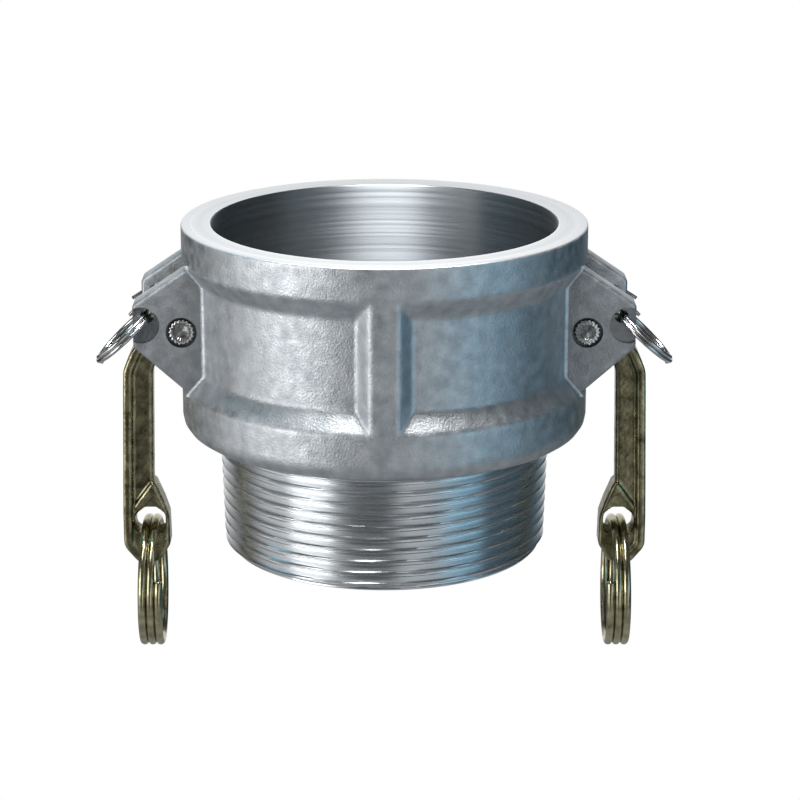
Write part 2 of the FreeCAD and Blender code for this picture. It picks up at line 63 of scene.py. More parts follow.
camera_data = bpy.data.cameras.new("camera")
camera_data.sensor_width = SENSOR
camera_data.lens = FOCAL_PIXELS * SENSOR / PICTURE
camera_data.shift_x = (PICTURE / 2 - AXIS_PIXEL) / PICTURE
camera_data.clip_end = FAR_CLIP
camera = bpy.data.objects.new("camera", camera_data)
camera.location = (
    0,
    -CAMERA_DISTANCE * math.cos(CAMERA_PITCH) * MM,
    (AIM_LEVEL + CAMERA_DISTANCE * math.sin(CAMERA_PITCH)) * MM,
)
camera.rotation_euler = (math.pi / 2 - CAMERA_PITCH, 0, 0)
bpy.context.scene.collection.objects.link(camera)
bpy.context.scene.camera = camera
print("lens", round(camera_data.lens, 1), "mm")

# %% [markdown]
# Sizes in millimetres, the same as the construction's. The casting's outside is a turned shape with
# four shallow recesses, so its radius is a function of the angle and the height.

# %% Sizes
THREAD_LENGTH = 33.0
THREAD_END_RADIUS = 43.7
THREAD_PITCH = 25.4 / 8
THREAD_TAPER = 1 / 32
THREAD_DEPTH = 1.8
WATERWAY = 38.0
BAND_LOW, BAND_HIGH = 54.68, 54.3
PANEL_RADIUS = 50.6
PANEL_BOTTOM, FLOOR_BOTTOM, FLOOR_TOP, PANEL_TOP = 46.0, 51.0, 75.5, 80.5
RIM_LEVEL = 89.5
SOCKET = 46.2
GROOVE = 47.6
GROOVE_FLOOR, GROOVE_TOP = 37.6, 44.25
RIB_WIDTH, RIB_SLOPE = 7.6, 3.6
EAR_FACE, EAR_THICKNESS = 17.8, 8.0
EAR_GAP = EAR_FACE - EAR_THICKNESS
EAR_REACH = 66.3
PIVOT = (53.5, 63.2)
LOCK_HOLE = (62.4, 67.5)
SPOTFACE = (64.1, 65.2)
PIN_HOLE, LOCK_DRILL = 3.2, 1.85
SIDES = ((1, "right"), (-1, "left"))
FRONT_AND_REAR = ((-1, "front"), (1, "rear"))
print("rim at", RIM_LEVEL, "mm, ears' faces at", EAR_FACE, "mm from the middle")

# %% [markdown]
# A few helpers come next. A surface is a grid of points, row by row, and its faces join each point to
# its neighbours. Whether they point outwards is settled by the sign of the volume that they enclose.

# %% Mesh helpers
def grid_quads(rows, columns, close_rows=False):
    """Faces of a grid whose rows are rings: each point joined to the next row and the next column."""
    row, column = np.meshgrid(
        np.arange(rows if close_rows else rows - 1), np.arange(columns), indexing="ij")
    row_next = (row + 1) % rows
    column_next = (column + 1) % columns
    corners = (row * columns + column, row * columns + column_next,
               row_next * columns + column_next, row_next * columns + column)
    return np.stack(corners, axis=-1).reshape(-1, 4)


def capped_grid(rows, columns):
    """Faces of a grid of rings whose first and last ring are each closed by one flat face."""
    ring = np.arange(columns)[None]
    return [grid_quads(rows, columns), ring[:, ::-1], ring + (rows - 1) * columns]


def round_axis(radius, turn, level):
    """Points at a radius and a level for every angle round the coupler's axis."""
    return np.stack([radius * np.cos(turn), radius * np.sin(turn), level], axis=-1).reshape(-1, 3)


def signed_volume(points, faces):
    """Six times the enclosed volume: triangles fanned from each face's first corner, to the origin."""
    total = 0.0
    for second in range(1, faces.shape[1] - 1):
        a, b, c = points[faces[:, 0]], points[faces[:, second]], points[faces[:, second + 1]]
        total += float(np.einsum("ij,ij->", a, np.cross(b, c)))
    return total


def new_piece(name, points, faces, finishes, which=None, smooth=True):
    """Makes an object from points in millimetres, turned right side out, with its materials."""
    faces = [np.asarray(part) for part in (faces if isinstance(faces, list) else [faces])]
    if sum(signed_volume(points, part) for part in faces) < 0:
        faces = [part[:, ::-1] for part in faces]
    mesh = bpy.data.meshes.new(name)
    mesh.from_pydata((points * MM).tolist(), [], [face for part in faces for face in part.tolist()])
    for finish in finishes:
        mesh.materials.append(finish)
    if which is not None:
        mesh.polygons.foreach_set("material_index", np.asarray(which, dtype=np.int32))
    mesh.polygons.foreach_set("use_smooth", np.full(len(mesh.polygons), smooth))
    mesh.update()
    piece = bpy.data.objects.new(name, mesh)
    bpy.context.scene.collection.objects.link(piece)
    return piece


def settle(piece):
    """Replaces a piece's mesh by what its modifiers make of it, and clears them."""
    shapes = bpy.context.evaluated_depsgraph_get()
    mesh = bpy.data.meshes.new_from_object(piece.evaluated_get(shapes))
    piece.modifiers.clear()
    piece.data = mesh
    return piece


def carve(piece, cutters):
    """Cuts closed shapes out of a piece exactly, one after the other, and removes them."""
    for cutter in cutters:
        modifier = piece.modifiers.new("carve", "BOOLEAN")
        modifier.operation = "DIFFERENCE"
        modifier.solver = "EXACT"
        modifier.material_mode = "TRANSFER"
        modifier.object = cutter
        settle(piece)
        bpy.data.objects.remove(cutter)
    return piece


def soften(piece, width, angle=30, segments=3):
    """Rounds every edge sharper than an angle by a width in millimetres."""
    bevel = piece.modifiers.new("soften", "BEVEL")
    bevel.width = width * MM
    bevel.segments = segments
    bevel.angle_limit = math.radians(angle)
    return settle(piece)


def crease(piece, angle=35):
    """Shades a piece smooth, but for edges sharper than an angle."""
    piece.data.polygons.foreach_set("use_smooth", np.ones(len(piece.data.polygons), dtype=bool))
    piece.data.set_sharp_from_angle(angle=math.radians(angle))
    return piece


print("three rings of four points make", len(grid_quads(3, 4)), "faces")

# %% [markdown]
# Three ways of making a surface are enough for the coupler. A tube carries a round section along a path. A
# slab gives a flat outline its thickness. A turned shape sweeps a profile round an axis.

# %% Surface makers
END_CHAMFER = 0.25


def tube(name, path, radius, finish, sides):
    """A round wire: rings square to the path, each carried on from the last without a twist."""
    path = np.asarray(path, dtype=float)
    along = np.gradient(path, axis=0)
    along /= np.linalg.norm(along, axis=1)[:, None]
    normal = np.zeros_like(path)
    start = np.eye(3)[np.argmin(np.abs(along[0]))]
    normal[0] = np.cross(along[0], start)
    for step in range(1, len(path)):
        normal[step] = normal[step - 1] - along[step] * np.dot(normal[step - 1], along[step])
        normal[step] /= np.linalg.norm(normal[step])
    normal[0] /= np.linalg.norm(normal[0])
    across = np.cross(along, normal)
    turn = np.linspace(0, 2 * np.pi, sides, endpoint=False)
    ring = (np.cos(turn)[None, :, None] * normal[:, None]
            + np.sin(turn)[None, :, None] * across[:, None])
    # Two more rings close each end: a flat that a chamfer leaves, and its middle
    last = len(path) - 1
    keep = np.r_[0, 0, np.arange(len(path)), last, last]
    inset = np.ones(len(keep))
    inset[[0, -1]] = 0.0
    inset[[1, -2]] = 1 - END_CHAMFER
    shift = np.zeros(len(keep))
    shift[[2, -3]] = END_CHAMFER, -END_CHAMFER
    points = path[keep][:, None] + ring[keep] * (radius * inset)[:, None, None]
    points = points + along[keep][:, None] * (radius * shift)[:, None, None]
    return new_piece(name, points.reshape(-1, 3), grid_quads(len(keep), sides), [finish])


def slab(name, outline, low, high, finish):
    """An outline in X and Z given thickness: the same ring at two levels of Y, and a face on each."""
    outline = np.asarray(outline, dtype=float)
    ends = [np.stack([outline[:, 0], np.full(len(outline), float(level)), outline[:, 1]], axis=1)
            for level in (low, high)]
    return new_piece(name, np.concatenate(ends), capped_grid(2, len(outline)), [finish], smooth=False)


def rod(name, centre, radius, low, high, finish, sides=64):
    """A cylinder along Y through (x, z): a circle's points, as a slab."""
    turn = np.linspace(0, 2 * np.pi, sides, endpoint=False)
    x, z = centre[0] + radius * np.cos(turn), centre[1] + radius * np.sin(turn)
    return slab(name, np.stack([x, z], axis=1), low, high, finish)


def rounded_path(corners, steps=5, closed=True):
    """A path through corners (u, v, radius): each corner becomes an arc tangent to both its sides."""
    corners = np.asarray(corners, dtype=float)
    path = []
    for index, corner in enumerate(corners):
        here, radius = corner[:2], corner[2]
        at_end = not closed and index in (0, len(corners) - 1)
        back = corners[index - 1][:2] - here
        ahead = corners[(index + 1) % len(corners)][:2] - here
        back /= np.linalg.norm(back)
        ahead /= np.linalg.norm(ahead)
        half = math.acos(float(np.clip(np.dot(back, ahead), -1, 1))) / 2
        straight = abs(half - math.pi / 2) < 1e-6
        if at_end or radius == 0 or straight:
            path.append(here[None])
            continue
        reach = radius / math.tan(half)
        middle = here + (back + ahead) / np.linalg.norm(back + ahead) * radius / math.sin(half)
        first = here + back * reach - middle
        last = here + ahead * reach - middle
        share = np.linspace(0, 1, steps)[:, None]
        sweep = math.pi - 2 * half
        arc = (np.sin((1 - share) * sweep) * first + np.sin(share * sweep) * last) / math.sin(sweep)
        path.append(middle + arc)
    return np.concatenate(path)


def spread(path, spacing):
    """Divides a path's sides evenly, so that none is longer than the spacing."""
    out = []
    for start, end in zip(path[:-1], path[1:]):
        count = max(1, math.ceil(np.linalg.norm(end - start) / spacing))
        out.append(start + (end - start) * np.linspace(0, 1, count, endpoint=False)[:, None])
    out.append(path[-1][None])
    return np.concatenate(out)


three_long = np.array([[0.0, 0.0], [3.0, 0.0]])
print("a side of 3 mm in steps of 1 mm has", len(spread(three_long, 1.0)), "points")

# %% [markdown]
# Finishes. One function turns the sRGB colours to linear, and one adds a node. Patterns read Object
# coordinates, in metres, so a pattern's scale is one over its real size.

# %% Material helpers
# A Mix node keeps one set of sockets per kind of value, and these are the ones for colours
MIX_A, MIX_B, MIXED = 6, 7, 2
# A noise keeps mostly between these two values
NOISE_LOW, NOISE_HIGH = 0.3, 0.7


def linear(code):
    """An sRGB hex colour as linear light: a twelfth of it near black, else a power of 2.4."""
    values = np.array([int(code[start:start + 2], 16) for start in (1, 3, 5)]) / 255
    light = np.where(values <= 0.04045, values / 12.92, ((values + 0.055) / 1.055) ** 2.4)
    return (*light.tolist(), 1.0)


def per_size(millimetres):
    """The scale that makes a pattern repeat at a real size."""
    return 1 / (millimetres * MM)


def add(tree, kind, links=None, **settings):
    """Adds a node, sets its sockets or properties by name and links its inputs."""
    made = tree.nodes.new(kind)
    for key, value in settings.items():
        socket = made.inputs.get(key.replace("_", " "))
        if socket is not None and not hasattr(made, key):
            socket.default_value = value
        else:
            setattr(made, key, value)
    for key, source in (links or {}).items():
        tree.links.new(source, made.inputs[key])
    return made


def new_finish(name, **settings):
    """A material with only its output and its main shader, set by socket name."""
    material = bpy.data.materials.new(name)
    material.use_nodes = True
    tree = material.node_tree
    tree.nodes.clear()
    shader = add(tree, "ShaderNodeBsdfPrincipled", **settings)
    add(tree, "ShaderNodeOutputMaterial", {"Surface": shader.outputs[0]})
    return material, tree, shader


def mottled(tree, place, size, low=0.0, high=1.0, detail=4.0):
    """A noise of a real size in millimetres, brought between two values."""
    noise = add(tree, "ShaderNodeTexNoise", {"Vector": place}, Scale=per_size(size), Detail=detail)
    span = add(tree, "ShaderNodeMapRange", {"Value": noise.outputs[0]},
               From_Min=NOISE_LOW, From_Max=NOISE_HIGH, To_Min=low, To_Max=high)
    return span.outputs[0]


def tinted(tree, factor, first, second):
    """Mixes two hex colours by a factor."""
    mix = add(tree, "ShaderNodeMix", {"Factor": factor}, data_type="RGBA")
    mix.inputs[MIX_A].default_value = linear(first)
    mix.inputs[MIX_B].default_value = linear(second)
    return mix.outputs[MIXED]


def raised(tree, shader, height, depth, under=None):
    """Bump from a height map, its depth in millimetres, on top of another bump where one is given."""
    links = {"Height": height}
    if under is not None:
        links["Normal"] = under
    bump = add(tree, "ShaderNodeBump", links, Strength=1.0, Distance=depth * MM)
    tree.links.new(bump.outputs[0], shader.inputs["Normal"])
    return bump.outputs[0]


def turned_place(tree):
    """Coordinates that are the same all round the coupler's axis: X is the radius and Y the height."""
    place = add(tree, "ShaderNodeTexCoord").outputs["Object"]
    parts = add(tree, "ShaderNodeSeparateXYZ", {"Vector": place})
    flat = add(tree, "ShaderNodeCombineXYZ", {"X": parts.outputs[0], "Y": parts.outputs[1]})
    radius = add(tree, "ShaderNodeVectorMath", {0: flat.outputs[0]}, operation="LENGTH")
    both = add(tree, "ShaderNodeCombineXYZ", {"X": radius.outputs["Value"], "Y": parts.outputs[2]})
    return both.outputs[0]


print("a 0.5 mm pattern has scale", per_size(0.5))

# %% [markdown]
# The casting is aluminium from a sand mould, then tumbled: a light satin grey whose skin shows the
# sand's grain, shallow waves and cloudy patches. It is a metal with a broad, soft gloss. The sand's
# real grain is too fine to show, so it is drawn at 0.6 mm.

# %% Cast aluminium
def cast_aluminium(name, first, second):
    """Sand-cast aluminium: cloudy patches in colour and gloss, and a fine grain on slow waves."""
    finish, tree, shader = new_finish(name, Metallic=1.0)
    place = add(tree, "ShaderNodeTexCoord").outputs["Object"]
    patches = mottled(tree, place, size=3.5, detail=9.0)
    tree.links.new(tinted(tree, patches, first, second), shader.inputs["Base Color"])
    gloss = mottled(tree, place, size=3.0, low=0.40, high=0.56)
    tree.links.new(gloss, shader.inputs["Roughness"])
    grain = mottled(tree, place, size=0.6)
    waves = mottled(tree, place, size=7.0, detail=2.0)
    waved = raised(tree, shader, waves, depth=0.05)
    raised(tree, shader, grain, depth=0.045, under=waved)
    return finish


CAST = cast_aluminium("sand_cast_aluminium", "#afb4b8", "#cdd0d3")
# The ears take a darker copy of the cast finish: painted shade for the dark studio that their flat faces
# mirror
EAR_SHADED_CAST = cast_aluminium("ear_cast_aluminium_painted_shade", "#979b9f", "#b4b7ba")
print("cast finishes:", CAST.name, EAR_SHADED_CAST.name)

# %% [markdown]
# The rim, the socket and the thread are turned on a lathe. The tool leaves fine rings, so the bump
# depends only on radius and height, and the highlights stretch across them. The rings are drawn at
# 0.3 to 0.45 mm, coarser than the tool's own, so that they show.

# %% Turned aluminium
ALONG_RINGS = 0.25  # of a turn, from the tangent that runs round the axis


def turned_aluminium(name, first, second, roughness, ring_size, ring_depth, stretch):
    """Turned aluminium: bands of colour and gloss and a lathe's rings, its gloss stretched across."""
    finish, tree, shader = new_finish(
        name, Metallic=1.0, Anisotropic=stretch, Anisotropic_Rotation=ALONG_RINGS)
    place = turned_place(tree)
    tree.links.new(tinted(tree, mottled(tree, place, size=1.5), first, second),
                   shader.inputs["Base Color"])
    gloss = mottled(tree, place, size=0.8, low=roughness * 0.8, high=roughness * 1.25)
    tree.links.new(gloss, shader.inputs["Roughness"])
    raised(tree, shader, mottled(tree, place, size=ring_size, detail=2.0), ring_depth)
    tangent = add(tree, "ShaderNodeTangent", direction_type="RADIAL", axis="Z")
    tree.links.new(tangent.outputs[0], shader.inputs["Tangent"])
    return finish


# Two colours, roughness, the rings' size and depth in millimetres, and how far the gloss stretches
# The bore's colour is darker than the rim's and the thread's: painted shade inside the socket, not a
# darker metal
BORED_SHADED = turned_aluminium("bored_aluminium_painted_shade", "#858a8e", "#93989c", 0.44, 0.35, 0.002, 0.9)
FACED = turned_aluminium("faced_aluminium", "#d3d6d8", "#dfe1e3", 0.36, 0.45, 0.003, 0.0)
THREADED = turned_aluminium("threaded_aluminium", "#d8dbdd", "#e4e6e8", 0.25, 0.30, 0.001, 0.4)
# The holes' colour is darker still: painted shade inside the drilled holes and the countersinks
DRILLED_SHADED = turned_aluminium("drilled_aluminium_painted_shade", "#74787b", "#898d90", 0.42, 0.30, 0.004, 0.0)
# The seat's colour is darker too: painted shade in the shallow recess round the lock hole
SEATED_SHADED = turned_aluminium("spot_faced_aluminium_painted_shade", "#8c9093", "#a0a4a7", 0.34, 0.30, 0.006, 0.0)
print("turned finishes:", BORED_SHADED.name, FACED.name, THREADED.name, DRILLED_SHADED.name, SEATED_SHADED.name)

# %% [markdown]
# The arms are forged brass with a dark golden patina. The finger rings are spring wire with a yellow
# passivated coat, the lock rings polished stainless wire, the pins ground steel and the gasket black
# nitrile rubber. Forging leaves broad dents, drawing and grinding leave almost none, and a mould
# leaves rubber matt, so they differ in the depth of their bump and in their gloss.

# %% Brass, wire, steel and rubber
def stained_finish(name, stains, gloss, dents, **settings):
    """A metal or rubber whose colour, gloss and bump are each a noise of a real size.

    stains: size, detail and two colours; gloss: size and two roughnesses; dents: size and depth.
    """
    finish, tree, shader = new_finish(name, **settings)
    place = add(tree, "ShaderNodeTexCoord").outputs["Object"]
    stain_size, detail, first, second = stains
    marks = mottled(tree, place, size=stain_size, detail=detail)
    tree.links.new(tinted(tree, marks, first, second), shader.inputs["Base Color"])
    if gloss is not None:
        gloss_size, low, high = gloss
        tree.links.new(mottled(tree, place, gloss_size, low, high), shader.inputs["Roughness"])
    dent_size, depth = dents
    raised(tree, shader, mottled(tree, place, size=dent_size), depth)
    return finish


def drawn_wire(name, first, second, roughness):
    """Drawn or ground metal: nearly smooth, with faint stains a few millimetres long."""
    return stained_finish(name, (3.0, 5.0, first, second), (1.2, roughness * 0.8, roughness * 1.3),
                          (0.5, 0.008), Metallic=1.0)


BRASS = stained_finish("patinated_forged_brass", (3.0, 6.0, "#5d5943", "#aaa483"),
                       (2.0, 0.22, 0.38), (1.1, 0.04), Metallic=1.0)
FINGER_WIRE_FINISH = drawn_wire("yellow_passivated_wire", "#858064", "#cbc4a2", 0.18)
STAINLESS = drawn_wire("polished_stainless_wire", "#a9a9a8", "#d2d2d1", 0.16)
STEEL = drawn_wire("ground_steel", "#b0b0af", "#e4e4e2", 0.26)
PIN_CORE = drawn_wire("staked_steel", "#5a5a59", "#c9c9c8", 0.45)
RUBBER = stained_finish("moulded_nitrile_rubber", (6.0, 4.0, "#1b1b1d", "#28282b"),
                        None, (0.3, 0.02), Roughness=0.62)
print("other finishes:", BRASS.name, FINGER_WIRE_FINISH.name, STAINLESS.name, STEEL.name,
      PIN_CORE.name, RUBBER.name)

# %% [markdown]
# The casting is one closed grid. Its rows follow a profile from the shoulder up the outside, over the
# rim and down the socket to the waterway, and its columns go round the axis. The four recesses are
# trays with sloping sides, so the radius is lowered by the smaller of two slopes: the one from the
# band above or below, and the one from the rib. Taking the smaller mitres their corners.

# %% Casting shape
SHOULDER_TUCK = 3.0
SHOULDER_ROUND, RIM_ROUND, GROOVE_ROUND, SEAT_ROUND = 4.6, 0.5, 0.15, 0.3
SLOPE_SOFTNESS = 0.045
ROW_SPACING, COLUMNS = 0.9, 400
CASTING_FINISHES = [CAST, FACED, BORED_SHADED]


def softly_clamped(value, soft):
    """Clamps to 0..1 with both bends rounded: a hyperbola in place of each corner."""
    above = 0.5 * (value + np.sqrt(value * value + soft * soft))
    return 1 - 0.5 * ((1 - above) + np.sqrt((1 - above) ** 2 + soft * soft))


def band_radius(level):
    """Radius of the bands: the lower one's, then a line from it to the upper one's."""
    return np.interp(level, [PANEL_BOTTOM, PANEL_TOP], [BAND_LOW, BAND_HIGH])


def recess(angle, level):
    """Depth below the bands: the smallest of the slopes from below, from above and from the rib."""
    from_bottom = (level - PANEL_BOTTOM) / (FLOOR_BOTTOM - PANEL_BOTTOM)
    from_top = (PANEL_TOP - level) / (PANEL_TOP - FLOOR_TOP)
    from_rib = (np.abs(BAND_HIGH * np.cos(angle)) - RIB_WIDTH / 2) / RIB_SLOPE
    slope = np.minimum(np.minimum(from_bottom, from_top), from_rib)
    return (band_radius(level) - PANEL_RADIUS) * softly_clamped(slope, SLOPE_SOFTNESS)


THREAD_TOP_RADIUS = THREAD_END_RADIUS + THREAD_TAPER * THREAD_LENGTH
outside = rounded_path([
    (THREAD_TOP_RADIUS - SHOULDER_TUCK, THREAD_LENGTH, 0), (BAND_LOW, THREAD_LENGTH, SHOULDER_ROUND),
    (BAND_LOW, PANEL_BOTTOM, 0), (BAND_HIGH, PANEL_TOP, 0), (BAND_HIGH, RIM_LEVEL, RIM_ROUND),
    (SOCKET, RIM_LEVEL, RIM_ROUND), (SOCKET, GROOVE_TOP, GROOVE_ROUND), (GROOVE, GROOVE_TOP, 0),
    (GROOVE, GROOVE_FLOOR, 0), (WATERWAY, GROOVE_FLOOR, SEAT_ROUND), (WATERWAY, THREAD_LENGTH, 0),
])
PROFILE = spread(np.concatenate([outside, outside[:1]]), ROW_SPACING)[:-1]
angle = np.linspace(0, 2 * np.pi, COLUMNS, endpoint=False)
radius = np.repeat(PROFILE[:, :1], COLUMNS, axis=1)
level = np.repeat(PROFILE[:, 1:], COLUMNS, axis=1)
# The recesses lower only the outside's rows, with half a millimetre to spare above and below
on_outside = (radius > PANEL_RADIUS + 1) & (level > PANEL_BOTTOM - 0.5) & (level < PANEL_TOP + 0.5)
radius = np.where(on_outside, radius - recess(angle, level), radius)
# A row's middle tells its finish, with a few tenths of a millimetre to spare: faced on the rim,
# bored inside, with painted shade in that finish's colour, and cast outside and under the shoulder
middle_radius, middle_level = ((PROFILE + np.roll(PROFILE, -1, 0)) / 2).T
row_finish = np.where(middle_level > RIM_LEVEL - 0.2, CASTING_FINISHES.index(FACED),
                      CASTING_FINISHES.index(CAST))
row_finish = np.where(middle_radius < SOCKET + 0.3, CASTING_FINISHES.index(BORED_SHADED), row_finish)
row_finish = np.where(middle_level < THREAD_LENGTH + 0.1, CASTING_FINISHES.index(CAST), row_finish)
casting = new_piece("casting", round_axis(radius, angle, level),
                    grid_quads(len(PROFILE), COLUMNS, close_rows=True),
                    CASTING_FINISHES, which=np.repeat(row_finish, COLUMNS))
print("casting faces", len(casting.data.polygons))

# %% [markdown]
# Behind each pair of ears a window goes through the wall, because the arms' cams reach through it into
# the socket. It is cut exactly, as a milled slot.

# %% Windows
WINDOW_INSIDE = 39.0
WINDOW_LOW, WINDOW_HIGH = PIVOT[1] - 13.6, PIVOT[1] + 13.0
for side, word in SIDES:
    left, right = sorted((side * WINDOW_INSIDE, side * EAR_REACH))
    corners = [(left, WINDOW_LOW), (right, WINDOW_LOW), (right, WINDOW_HIGH), (left, WINDOW_HIGH)]
    carve(casting, [slab("window_" + word, corners, -EAR_GAP, EAR_GAP, CAST)])
crease(casting, angle=40)
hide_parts("coupler_body")
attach(casting, "coupler")
print("casting after windows", len(casting.data.polygons))

# %% [markdown]
# The thread is a second grid with many more rows. Its depth repeats once per pitch along the axis and
# moves up by one pitch per turn, which makes the helix. It fades out under the shoulder and is cut off
# by the chamfer at the end.

# %% Thread
ROWS_PER_PITCH, BORE_ROWS = 14, 6
END_CHAMFER_DEPTH = 1.9
RUN_OUT_PITCHES = 0.9
# The valley's slopes go on past 0 and 1, which leaves flats of an eighth of a pitch at the root and
# a twelfth at the crest
VALLEY_MIDDLE, VALLEY_SLOPE = 1.16, 1.26


def thread_depth(angle, level):
    """Depth below the crests: a V, clipped to flats at crest and root, that fades at the shoulder."""
    place = np.mod(level / THREAD_PITCH - angle / (2 * np.pi), 1.0)
    valley = np.clip(VALLEY_MIDDLE - np.abs(place - 0.5) * 2 * VALLEY_SLOPE, 0.0, 1.0)
    run_out = np.clip((THREAD_LENGTH - level) / (RUN_OUT_PITCHES * THREAD_PITCH), 0, 1)
    return THREAD_DEPTH * valley * run_out


screw_level = np.linspace(0.0, THREAD_LENGTH, int(THREAD_LENGTH / THREAD_PITCH * ROWS_PER_PITCH))
screw_radius = THREAD_END_RADIUS + THREAD_TAPER * screw_level
bore_level = np.linspace(THREAD_LENGTH, 0.0, BORE_ROWS)
sleeve = np.concatenate([
    np.stack([screw_radius, screw_level], axis=1),
    np.stack([np.full(BORE_ROWS, WATERWAY), bore_level], axis=1),
])
level = np.repeat(sleeve[:, 1:], COLUMNS, axis=1)
radius = np.repeat(sleeve[:, :1], COLUMNS, axis=1)
screwed = np.arange(len(sleeve))[:, None] < len(screw_level)
cut_radius = radius - thread_depth(angle, level)
chamfered = THREAD_END_RADIUS - END_CHAMFER_DEPTH + level
radius = np.where(screwed, np.minimum(cut_radius, chamfered), radius)
thread_piece = new_piece("pipe_thread", round_axis(radius, angle, level),
                         grid_quads(len(sleeve), COLUMNS, close_rows=True), [THREADED])
crease(thread_piece, angle=50)
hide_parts("coupler_body")
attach(thread_piece, "coupler")
print("thread crests", round(THREAD_LENGTH / THREAD_PITCH, 1))

# %% [markdown]
# An ear is a plate whose edges are rounded as cast edges are. After that it is drilled for the pin and
# for the lock ring, and a round seat is cut at its outer end, so these edges stay sharp.

# %% Ears
EAR_TOP, EAR_BOTTOM = PIVOT[1] + 7.4, PIVOT[1] - 4.1
EAR_ROOT = 47.0
EAR_CORNER, EAR_EDGE = 1.6, 0.9
SLOPE_ABOVE, SLOPE_BELOW = 0.68, 0.89
SEAT_RADIUS, SEAT_DEPTH = 4.9, 1.0
SINK_RADIUS, SINK_DEPTH = 4.1, 1.6
PROUD, BEYOND = 4.0, 5.0  # how far a sunk cutter and a drill stick out of the metal


def ear(name, side, face):
    """One ear, side 1 right and face -1 front: two sloping sides from the casting to a blunt end."""
    width = EAR_REACH - EAR_ROOT
    outline = rounded_path([
        (side * EAR_ROOT, EAR_BOTTOM - SLOPE_BELOW * width, 0),
        (side * EAR_REACH, EAR_BOTTOM, EAR_CORNER), (side * EAR_REACH, EAR_TOP, EAR_CORNER),
        (side * EAR_ROOT, EAR_TOP + SLOPE_ABOVE * width, 0),
    ], steps=7)
    low, high = sorted((face * EAR_GAP, face * EAR_FACE))
    # The plate takes the darker cast copy, whose colour holds painted shade
    plate = slab(name, outline, low, high, EAR_SHADED_CAST)
    soften(plate, EAR_EDGE, angle=40, segments=4)
    outer = face * EAR_FACE
    seat = sorted((outer - face * SEAT_DEPTH, outer + face * PROUD))
    sink = sorted((outer - face * SINK_DEPTH, outer + face * PROUD))
    through = (low - BEYOND, high + BEYOND)
    pivot = (side * PIVOT[0], PIVOT[1])
    # The seat, holes and countersink take the darker turned copies, whose colours hold painted shade
    drills = [
        rod("seat", (side * SPOTFACE[0], SPOTFACE[1]), SEAT_RADIUS, *seat, SEATED_SHADED),
        rod("lock_drill", (side * LOCK_HOLE[0], LOCK_HOLE[1]), LOCK_DRILL, *through, DRILLED_SHADED, sides=40),
        rod("countersink", pivot, SINK_RADIUS, *sink, DRILLED_SHADED),
        rod("pin_drill", pivot, PIN_HOLE, *through, DRILLED_SHADED),
    ]
    return crease(carve(plate, drills), angle=32)


for side, word in SIDES:
    for face, where in FRONT_AND_REAR:
        plate = ear("ear_" + where + "_" + word, side, face)
        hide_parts("coupler_body")
        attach(plate, "coupler")
print("ears cut")

# %% [markdown]
# A mould has no sharp inner corners, so metal fills the corner between an ear's face and the casting.
# This fillet is a strip along the line where the two meet. At each level that line is where the
# casting's circle crosses the plane of the ear's face, and the strip's face is an arc tangent to both.

# %% Fillets
FILLET = 1.5
FILLET_LOW, FILLET_HIGH, FILLET_ROWS = 45.6, 81.2, 90
WALL_TUCK, EAR_TUCK = (1.2, 0.9), (0.6, 1.2)  # how far the strip's two back corners lie in the metal


def wall_beside(height):
    """The casting's radius where it meets the ear's face: radius and bearing, settled in four rounds."""
    bearing = math.asin(EAR_FACE / PANEL_RADIUS)
    for _ in range(4):
        wall = float(band_radius(height) - recess(bearing, height))
        bearing = math.asin(EAR_FACE / wall)
    return wall


def fillet_strip(name, side, face, size):
    """A concave strip: per level an arc whose centre lies its radius off the ear's face and the wall."""
    rows = []
    for height in np.linspace(FILLET_LOW, FILLET_HIGH, FILLET_ROWS):
        wall = wall_beside(height)
        centre_y = EAR_FACE + size
        centre_x = math.sqrt((wall + size) ** 2 - centre_y ** 2)
        sweep = np.linspace(-math.pi / 2, math.atan2(-centre_y, -centre_x), 9)
        arc = np.stack([centre_x + size * np.cos(sweep), centre_y + size * np.sin(sweep)], axis=1)
        section = np.concatenate([arc, [arc[-1] - WALL_TUCK, arc[0] - EAR_TUCK]])
        rows.append(np.stack([side * section[:, 0], face * section[:, 1],
                              np.full(len(section), height)], axis=1))
    points = np.array(rows)
    strip = new_piece(name, points.reshape(-1, 3), capped_grid(*points.shape[:2]), [CAST])
    return crease(strip, angle=50)


for side, word in SIDES:
    for face, where in FRONT_AND_REAR:
        strip = fillet_strip("fillet_" + where + "_" + word, side, face, FILLET)
        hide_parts("coupler_body")
        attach(strip, "coupler")
print("fillets laid")

# %% [markdown]
# The arm is forged, so all its edges are round and its ribs flow into each other. It is gathered from
# simple closed forms: hub, cam, a web, an outer flange that widens downwards and a foot with an eye.
# A voxel remesh fuses them, and a smoothing pass rounds what is left of their corners.

# %% Arm forms
def flowing_bar(name, path, thickness, half_widths, finish, corner=0.7):
    """A bar along a path in X and Z: a rounded oblong, square to the path, whose width follows it."""
    path = np.asarray(path)
    along = np.gradient(path, axis=0)
    along /= np.linalg.norm(along, axis=1)[:, None]
    sideways = np.stack([-along[:, 1], along[:, 0]], axis=1)
    rows = []
    for spot, normal, half in zip(path, sideways, half_widths):
        section = rounded_path([
            (-thickness / 2, -half, corner), (thickness / 2, -half, corner),
            (thickness / 2, half, corner), (-thickness / 2, half, corner),
        ], steps=4)
        flat = spot[None] + section[:, :1] * normal[None]
        rows.append(np.stack([flat[:, 0], section[:, 1], flat[:, 1]], axis=1))
    points = np.array(rows)
    return new_piece(name, points.reshape(-1, 3), capped_grid(*points.shape[:2]), [finish])


